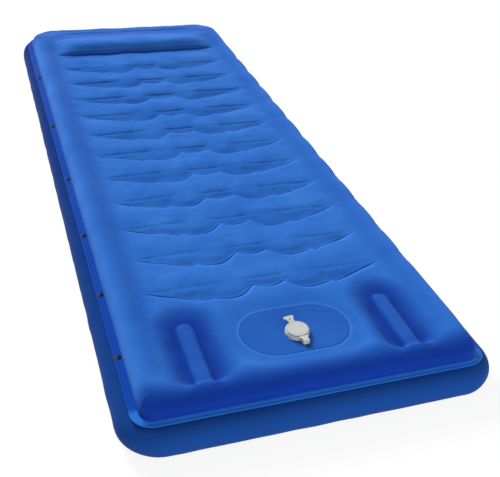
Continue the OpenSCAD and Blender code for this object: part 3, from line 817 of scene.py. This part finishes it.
# Foam block of the foot pump: open-cell foam that lifts the panel again. It is cut to the oval
# and lies loose in the film bladder, with a round well below the valve.
def open_foam(name, tone):
    """Cream open-cell foam with fine pores, painted darker in each pore as shade."""
    material, nodes, links, shader = new_finish(name)
    pore_shade_share = 0.6
    pores = nodes.new("ShaderNodeTexVoronoi")
    pores.inputs["Scale"].default_value = 500
    # Painted shade: darker at the middle of each cell
    tint = two_tones(nodes, [colour * pore_shade_share for colour in tone], tone)
    bump = raised(nodes, strength=0.5, distance=0.0008)
    linked(links, [(nodes.new("ShaderNodeTexCoord").outputs["Object"], pores.inputs["Vector"]),
                   (pores.outputs["Distance"], tint.inputs["Factor"]),
                   (tint.outputs["Result"], shader.inputs["Base Color"]),
                   (pores.outputs["Distance"], bump.inputs["Height"]),
                   (bump.outputs["Normal"], shader.inputs["Normal"])])
    shader.inputs["Roughness"].default_value = 0.9
    return material


foam_mesh = bmesh.new()
foam_mesh.from_mesh(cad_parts["pump_foam"].data)
bmesh.ops.remove_doubles(foam_mesh, verts=foam_mesh.verts, dist=1e-6)
cream_foam = open_foam("cream_foam", tone=(0.80, 0.72, 0.50))
foam = make_piece("foam_block", foam_mesh, cream_foam)
foam.data.shade_flat()
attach(foam, "root")
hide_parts("pump_foam")
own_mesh(foam)


# Pump panel, skirt and collar: the oval panel that the foot presses is coated nylon on the foam. A thin
# skirt joins it to a flat collar, which is welded round the opening of the upper skin.
panel_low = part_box("pump_panel")[0]
seat_low, seat_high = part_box("valve_seat")
valve_middle = Vector((0, (seat_low.y + seat_high.y) / 2))
oval_turns, oval_step = 28, 0.004


def oval_stations(radius):
    """Points round an oval with the pump's middle line."""
    half = Vector((oval_span / 2 + radius, radius))
    return edge_stations(pump_middle, half, (radius, radius), oval_step, oval_turns)


# The collar's section runs from its outer edge, sunk in the skin, over a flat band to a rounded inner lip
collar_band = 0.011
collar_inner = collar_radius - collar_band
lip_z = ground_z + 0.0003
collar_section = [(0.001, ground_z - 0.002), (0, ground_z + 0.0001), (-0.004, ground_z + 0.0002),
                  (-0.0085, lip_z), (-0.0100, lip_z - 0.0001), (-0.0106, lip_z - 0.0004),
                  (-0.0109, lip_z - 0.0012), (-collar_band, ground_z - 0.0026)]
collar_mesh = swept_skin(oval_stations(collar_radius), collar_section)
collar = make_piece("pump_lip", collar_mesh, top_nylon)
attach(collar, "root")
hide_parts("pump_collar")

skirt_top, skirt_low = ground_z - 0.0016, panel_low.z
skirt_steps = 12
skirt_taper, skirt_behind = 0.0025, 0.0002
skirt_section = [(-skirt_taper * n / skirt_steps, skirt_top + (skirt_low - skirt_top) * n / skirt_steps)
                 for n in range(skirt_steps + 1)]
skirt_mesh = swept_skin(oval_stations(collar_inner + skirt_behind), skirt_section)
skirt = make_piece("pump_skirt_band", skirt_mesh, wall_nylon)
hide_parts("pump_skirt")
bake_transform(skirt)

# The panel's cover closes inside the collar, sags a little and has one soft fold across its head right side
fold_start, fold_end = Vector((0.034, pump_middle.y + 0.053)), Vector((0.088, pump_middle.y + 0.040))
fold_line = fold_end - fold_start
fold_in, fold_out = (-0.1, 0.2), (0.8, 1.1)
fold_rise, fold_width = 0.0012, 0.003
fold_sink, sink_off, sink_width = 0.0008, 0.005, 0.004
hole_radius = 0.0215
cover_radius = collar_inner - 0.0003
cover_edge = [(0, panel_low.z), (0, lip_z - 0.0012), (0.0001, lip_z - 0.0005), (0.0005, lip_z - 0.0002)]
cover_rings = 22
cover_sag, sag_share = 0.0008, 0.6
cover_ripple, cover_scale = 0.0005, 28
# Painted shade: the whole cover is painted evenly darker
cover_painted_shade = 0.42
panel_mesh = bmesh.new()
cover_shade_layer = panel_mesh.verts.layers.float.new("painted_shade")
cover_stations = oval_stations(cover_radius)
ring_count = len(cover_edge) + cover_rings
around = len(cover_stations)
panel_grid = bmesh.ops.create_grid(panel_mesh, x_segments=around, y_segments=ring_count - 1, size=1)
for vert in panel_grid["verts"]:
    vert[cover_shade_layer] = cover_painted_shade
    point, out = cover_stations[round((vert.co.x + 1) / 2 * around) % around]
    ring = round((vert.co.y + 1) / 2 * (ring_count - 1))
    if ring < len(cover_edge):
        inset, height = cover_edge[ring]
        vert.co = (*(point - out * inset), height)
        continue
    share = (ring - len(cover_edge) + 1) / cover_rings
    rim = valve_middle + (point - valve_middle).normalized() * hole_radius
    spot = (point - out * cover_edge[-1][0]).lerp(rim, share)
    along_fold = (spot - fold_start).dot(fold_line) / fold_line.length_squared
    off_fold = (spot - fold_start.lerp(fold_end, along_fold)).y
    ends = smooth(*fold_in, along_fold) * (1 - smooth(*fold_out, along_fold))
    fold = fold_rise * hump(0, fold_width, off_fold) - fold_sink * hump(sink_off, sink_width, off_fold)
    ripple = cover_ripple * noise.noise(Vector((*spot, 0)) * cover_scale) * share
    sag = cover_sag * smooth(0, sag_share, share)
    vert.co = (*spot, cover_edge[-1][1] + ends * fold + ripple - sag)
bmesh.ops.remove_doubles(panel_mesh, verts=panel_mesh.verts, dist=1e-6)
bmesh.ops.recalc_face_normals(panel_mesh, faces=panel_mesh.faces)
panel = make_piece("pump_cover", panel_mesh, top_nylon)
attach(panel, "pump_panel")
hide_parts("pump_panel")


# Valve: light grey moulded layers. The seat is welded into the panel, the plug closes it, and the cap with
# its grip closes the plug. Soft rubber flaps under the plug and on the pump's wall work as one-way valves.
valve_grey = moulded_plastic("valve_grey", tone=(0.46, 0.49, 0.46), roughness=0.45, speckle=0.86)
finish_nodes(valve_grey, ["valve_seat", "deflate_plug", "valve_cap", "check_seat"])
flap_black = moulded_plastic("flap_black", tone=(0.015, 0.015, 0.017), roughness=0.6, speckle=0.8)
finish_nodes(flap_black, ["inlet_flap", "check_flap"])


# Bent straps: thin living hinges moulded with the layers; on the real valve they bend as a layer is opened.
# Here each is one fixed shape, turned back on itself on the foot side.
strap_turns, leg_steps, strap_columns = 20, 8, 6
valve_turn = math.radians(8)
strap_w, strap_t, strap_round = 0.012, 0.0012, 0.0003
strap_under = 0.001
plug_low, plug_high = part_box("deflate_plug")
plug_radius = (plug_high.x - plug_low.x) / 2
strap_flare, flare_run = 0.0045, 0.007


def bent_strap(name, node, flare):
    """One strap, from the lower layer round the bend to the upper layer, where it flares into the rim."""
    low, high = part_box(node)
    bend = (high.z - low.z - strap_t) / 2
    reach = (valve_middle.y - low.y - strap_w / 2 * math.sin(valve_turn)) / math.cos(valve_turn)
    end_y, root_y = reach - strap_t / 2 - bend, plug_radius - strap_under
    centre_z = (low.z + high.z) / 2
    line = [(root_y + (end_y - root_y) * n / leg_steps, -bend) for n in range(leg_steps + 1)]
    line += [(end_y + bend * math.sin(math.pi * n / strap_turns), -bend * math.cos(math.pi * n / strap_turns))
             for n in range(1, strap_turns)]
    line += [(end_y + (root_y - end_y) * n / leg_steps, bend) for n in range(leg_steps + 1)]
    band = bmesh.new()
    grid = bmesh.ops.create_grid(band, x_segments=strap_columns, y_segments=len(line) - 1, size=1)
    for vert in grid["verts"]:
        out, z = line[round((vert.co.y + 1) / 2 * (len(line) - 1))]
        wide = strap_w / 2 + (flare * (1 - smooth(0, flare_run, out - root_y)) if z > 0 else 0)
        vert.co = (vert.co.x * wide, -out, centre_z + z)
    bmesh.ops.rotate(band, verts=band.verts, matrix=Matrix.Rotation(valve_turn, 3, "Z"))
    bmesh.ops.translate(band, verts=band.verts, vec=(*valve_middle, 0))
    bmesh.ops.recalc_face_normals(band, faces=band.faces)
    strap = make_piece(name, band, valve_grey)
    skin = strap.modifiers.new("thickness", "SOLIDIFY")
    skin.thickness, skin.offset = strap_t, 0
    rim = strap.modifiers.new("rounded", "BEVEL")
    rim.width, rim.segments = strap_round, 2
    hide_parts(node)
    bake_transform(strap)


bent_strap("plug_hinge", "plug_strap", 0)
bent_strap("cap_hinge", "cap_strap", strap_flare)


# Stage: a pale floor that keeps a soft shadow, white surroundings, a broad key light from the
# head's left side, a low fill light at the foot and the camera of the photograph.
def seen_share(nodes, links):
    """Output that is 1 for what the camera sees directly, in a gloss or through something clear."""
    rays = nodes.new("ShaderNodeLightPath")
    seen = rays.outputs["Is Camera Ray"]
    for kind in ("Is Glossy Ray", "Is Transmission Ray"):
        either = nodes.new("ShaderNodeMath")
        either.operation = "MAXIMUM"
        linked(links, [(seen, either.inputs[0]), (rays.outputs[kind], either.inputs[1])])
        seen = either.outputs["Value"]
    return seen


def floor_white(name):
    """White floor: seen directly it is nearly white, and it still takes the mattress's shadow."""
    material, nodes, links, shader = new_finish(name)
    white_share = 0.88
    nodes.remove(shader)
    paint = nodes.new("ShaderNodeBsdfDiffuse")
    paint.inputs["Color"].default_value = (0.86, 0.86, 0.86, 1)
    glow = nodes.new("ShaderNodeEmission")
    glow.inputs["Strength"].default_value = 1
    share = nodes.new("ShaderNodeMath")
    share.operation = "MULTIPLY"
    share.inputs[1].default_value = white_share
    mix = nodes.new("ShaderNodeMixShader")
    linked(links, [(seen_share(nodes, links), share.inputs[0]), (share.outputs["Value"], mix.inputs["Fac"]),
                   (paint.outputs["BSDF"], mix.inputs[1]), (glow.outputs["Emission"], mix.inputs[2]),
                   (mix.outputs["Shader"], nodes["Material Output"].inputs["Surface"])])
    return material


floor_half, floor_drop = 40, 0.0005
floor_mesh = bmesh.new()
bmesh.ops.create_grid(floor_mesh, x_segments=1, y_segments=1, size=floor_half)
bmesh.ops.translate(floor_mesh, verts=floor_mesh.verts, vec=(0, 0, -floor_drop))
floor_data = bpy.data.meshes.new("floor")
floor_mesh.to_mesh(floor_data)
floor_mesh.free()
floor = bpy.data.objects.new("floor", floor_data)
floor_data.materials.append(floor_white("floor_white"))
bpy.context.scene.collection.objects.link(floor)

world = bpy.data.worlds.new("surroundings")
bpy.context.scene.world = world
world.use_nodes = True
sky, sky_links = world.node_tree.nodes, world.node_tree.links
sky["Background"].inputs["Color"].default_value = (0.95, 0.97, 1, 1)
sky["Background"].inputs["Strength"].default_value = 0.32
bright = sky.new("ShaderNodeBackground")
bright.inputs["Color"].default_value = (1, 1, 1, 1)
sky_mix = sky.new("ShaderNodeMixShader")
linked(sky_links, [(seen_share(sky, sky_links), sky_mix.inputs["Fac"]),
                   (sky["Background"].outputs["Background"], sky_mix.inputs[1]),
                   (bright.outputs["Background"], sky_mix.inputs[2]),
                   (sky_mix.outputs["Shader"], sky["World Output"].inputs["Surface"])])


def area_light(name, place, target, width, height, power):
    """Soft light, turned to its target, that neither the camera nor a gloss shows."""
    data = bpy.data.lights.new(name, "AREA")
    data.shape, data.size, data.size_y, data.energy = "ELLIPSE", width, height, power
    light = bpy.data.objects.new(name, data)
    bpy.context.scene.collection.objects.link(light)
    light.location = place
    light.rotation_mode = "QUATERNION"
    light.rotation_quaternion = (Vector(target) - Vector(place)).to_track_quat("-Z", "Y")
    light.visible_glossy = light.visible_camera = False


area_light("key", place=(-6.2, 21.1, 13.6), target=(0, 0, 0), width=9.7, height=9.7, power=11800)
area_light("low_fill", place=(0.1, -1.9, 0.28), target=(0.05, -1, 0.03), width=1.8, height=0.05, power=13)

# Camera fitted to the photograph: place, then turn to the right, tilt down and roll
photo_width, focal_pixels = 500, 801.07
camera_place = Vector((-0.4994, -1.8398, 1.0407))
camera_yaw, camera_pitch, camera_roll = (math.radians(turn) for turn in (20.571, 33.062, 4.176))
camera_data = bpy.data.cameras.new("photo_camera")
camera_data.sensor_width = 36
camera_data.lens = focal_pixels / photo_width * camera_data.sensor_width
camera = bpy.data.objects.new("photo_camera", camera_data)
bpy.context.scene.collection.objects.link(camera)
camera.location = camera_place
camera.rotation_mode = "QUATERNION"
sight = Vector((math.sin(camera_yaw) * math.cos(camera_pitch), math.cos(camera_yaw) * math.cos(camera_pitch),
                -math.sin(camera_pitch)))
level = Vector((math.cos(camera_yaw), -math.sin(camera_yaw), 0))
upright = level.cross(sight)
right = level * math.cos(camera_roll) + upright * math.sin(camera_roll)
above = upright * math.cos(camera_roll) - level * math.sin(camera_roll)
camera.rotation_quaternion = Matrix((right, above, -sight)).transposed().to_quaternion()
bpy.context.scene.camera = camera
bpy.context.scene.view_settings.view_transform = "Standard"
